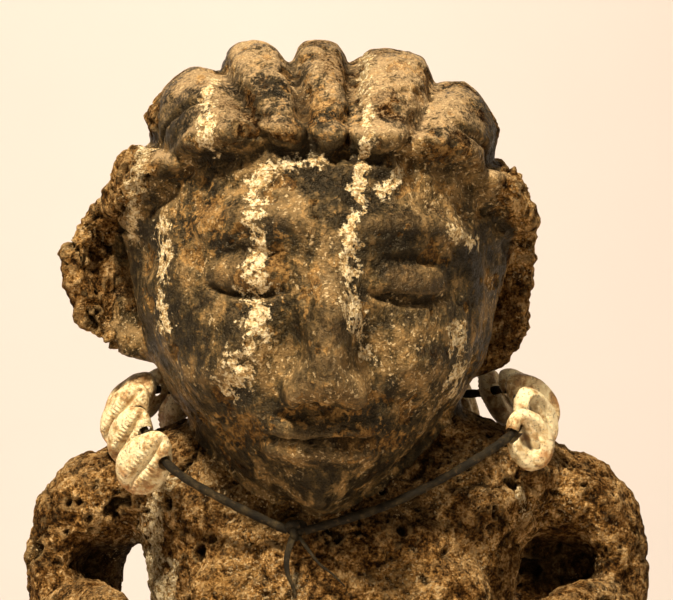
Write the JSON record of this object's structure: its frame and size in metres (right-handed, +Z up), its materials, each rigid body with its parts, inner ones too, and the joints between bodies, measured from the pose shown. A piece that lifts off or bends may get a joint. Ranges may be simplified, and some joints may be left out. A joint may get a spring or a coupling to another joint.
{
  "type": "carved ancestor figure",
  "caption": "Standing wooden ancestor figure on a round base, with ridged hair, hands on its belly and a knotted cord necklace of cowrie shells.",
  "frame": {"origin": "centre of the base's flat underside", "axes": "+Z up through the head, the face looks along -Y"},
  "size_m": [0.2298, 0.1864, 0.6398],
  "materials": {
    "wood": "matte",
    "shell": "satin",
    "cord": "matte"
  },
  "bodies": {
    "figure": {"carved_figure": "wood", "neck_cord": "cord", "cord_knot": "cord", "cord_tail_long": "cord", "cord_tail_short": "cord"},
    "cowrie_1_body": {"cowrie_1": "shell"},
    "cowrie_2_body": {"cowrie_2": "shell"},
    "cowrie_3_body": {"cowrie_3": "shell"},
    "cowrie_4_body": {"cowrie_4": "shell"},
    "cowrie_5_body": {"cowrie_5": "shell"},
    "cowrie_6_body": {"cowrie_6": "shell"},
    "cowrie_7_body": {"cowrie_7": "shell"},
    "cowrie_8_body": {"cowrie_8": "shell"},
    "cowrie_9_body": {"cowrie_9": "shell"},
    "cowrie_10_body": {"cowrie_10": "shell"},
    "cowrie_11_body": {"cowrie_11": "shell"},
    "cowrie_12_body": {"cowrie_12": "shell"},
    "cowrie_13_body": {"cowrie_13": "shell"},
    "cowrie_14_body": {"cowrie_14": "shell"},
    "cowrie_15_body": {"cowrie_15": "shell"},
    "cowrie_16_body": {"cowrie_16": "shell"},
    "cowrie_17_body": {"cowrie_17": "shell"},
    "cowrie_18_body": {"cowrie_18": "shell"}
  },
  "joints": [
    {"name": "cowrie_1_swing", "type": "hinge", "parent": "figure", "child": "cowrie_1_body", "pos_m": [-0.0627, -0.04451, 0.49165], "axis": [-0.4962, 0.636, 0.591], "range_deg": [0, 20]},
    {"name": "cowrie_2_swing", "type": "hinge", "parent": "figure", "child": "cowrie_2_body", "pos_m": [-0.06875, -0.03287, 0.50024], "axis": [-0.2684, 0.8413, 0.4693], "range_deg": [0, 20]},
    {"name": "cowrie_3_swing", "type": "hinge", "parent": "figure", "child": "cowrie_3_body", "pos_m": [-0.07103, -0.01867, 0.5065], "axis": [-0.0293, 0.9442, 0.3281], "range_deg": [0, 20]},
    {"name": "cowrie_4_swing", "type": "hinge", "parent": "figure", "child": "cowrie_4_body", "pos_m": [-0.06975, -0.00354, 0.51047], "axis": [0.1854, 0.9664, 0.1779], "range_deg": [0, 20]},
    {"name": "cowrie_5_swing", "type": "hinge", "parent": "figure", "child": "cowrie_5_body", "pos_m": [-0.06493, 0.0113, 0.51204], "axis": [0.4401, 0.8979, -0.0113], "range_deg": [0, 20]},
    {"name": "cowrie_6_swing", "type": "hinge", "parent": "figure", "child": "cowrie_6_body", "pos_m": [-0.05604, 0.02408, 0.51044], "axis": [0.6881, 0.7156, -0.1202], "range_deg": [0, 20]},
    {"name": "cowrie_7_swing", "type": "hinge", "parent": "figure", "child": "cowrie_7_body", "pos_m": [-0.0439, 0.03396, 0.50901], "axis": [0.8337, 0.5459, -0.0838], "range_deg": [0, 20]},
    {"name": "cowrie_8_swing", "type": "hinge", "parent": "figure", "child": "cowrie_8_body", "pos_m": [-0.02991, 0.04103, 0.508], "axis": [0.9412, 0.336, -0.0352], "range_deg": [0, 20]},
    {"name": "cowrie_9_swing", "type": "hinge", "parent": "figure", "child": "cowrie_9_body", "pos_m": [-0.01465, 0.0448, 0.50782], "axis": [0.9878, 0.1559, 0.0051], "range_deg": [0, 20]},
    {"name": "cowrie_10_swing", "type": "hinge", "parent": "figure", "child": "cowrie_10_body", "pos_m": [0.00102, 0.04599, 0.50802], "axis": [0.9997, -0.0116, 0.0191], "range_deg": [0, 20]},
    {"name": "cowrie_11_swing", "type": "hinge", "parent": "figure", "child": "cowrie_11_body", "pos_m": [0.01667, 0.04445, 0.5085], "axis": [0.9819, -0.1853, 0.0382], "range_deg": [0, 20]},
    {"name": "cowrie_12_swing", "type": "hinge", "parent": "figure", "child": "cowrie_12_body", "pos_m": [0.03167, 0.03985, 0.5091], "axis": [0.9051, -0.4238, 0.0329], "range_deg": [0, 20]},
    {"name": "cowrie_13_swing", "type": "hinge", "parent": "figure", "child": "cowrie_13_body", "pos_m": [0.04491, 0.03139, 0.5096], "axis": [0.7788, -0.6262, 0.0378], "range_deg": [0, 20]},
    {"name": "cowrie_14_swing", "type": "hinge", "parent": "figure", "child": "cowrie_14_body", "pos_m": [0.05598, 0.02035, 0.51083], "axis": [0.5877, -0.7969, 0.14], "range_deg": [0, 20]},
    {"name": "cowrie_15_swing", "type": "hinge", "parent": "figure", "child": "cowrie_15_body", "pos_m": [0.06292, 0.00638, 0.5119], "axis": [0.3026, -0.9519, -0.0492], "range_deg": [0, 20]},
    {"name": "cowrie_16_swing", "type": "hinge", "parent": "figure", "child": "cowrie_16_body", "pos_m": [0.06575, -0.00893, 0.50994], "axis": [0.0805, -0.9759, -0.2027], "range_deg": [0, 20]},
    {"name": "cowrie_17_swing", "type": "hinge", "parent": "figure", "child": "cowrie_17_body", "pos_m": [0.0664, -0.02407, 0.50572], "axis": [-0.0014, -0.9481, -0.3179], "range_deg": [0, 20]},
    {"name": "cowrie_18_swing", "type": "hinge", "parent": "figure", "child": "cowrie_18_body", "pos_m": [0.06384, -0.0383, 0.49984], "axis": [-0.4252, -0.794, -0.4345], "range_deg": [0, 20]}
  ]
}
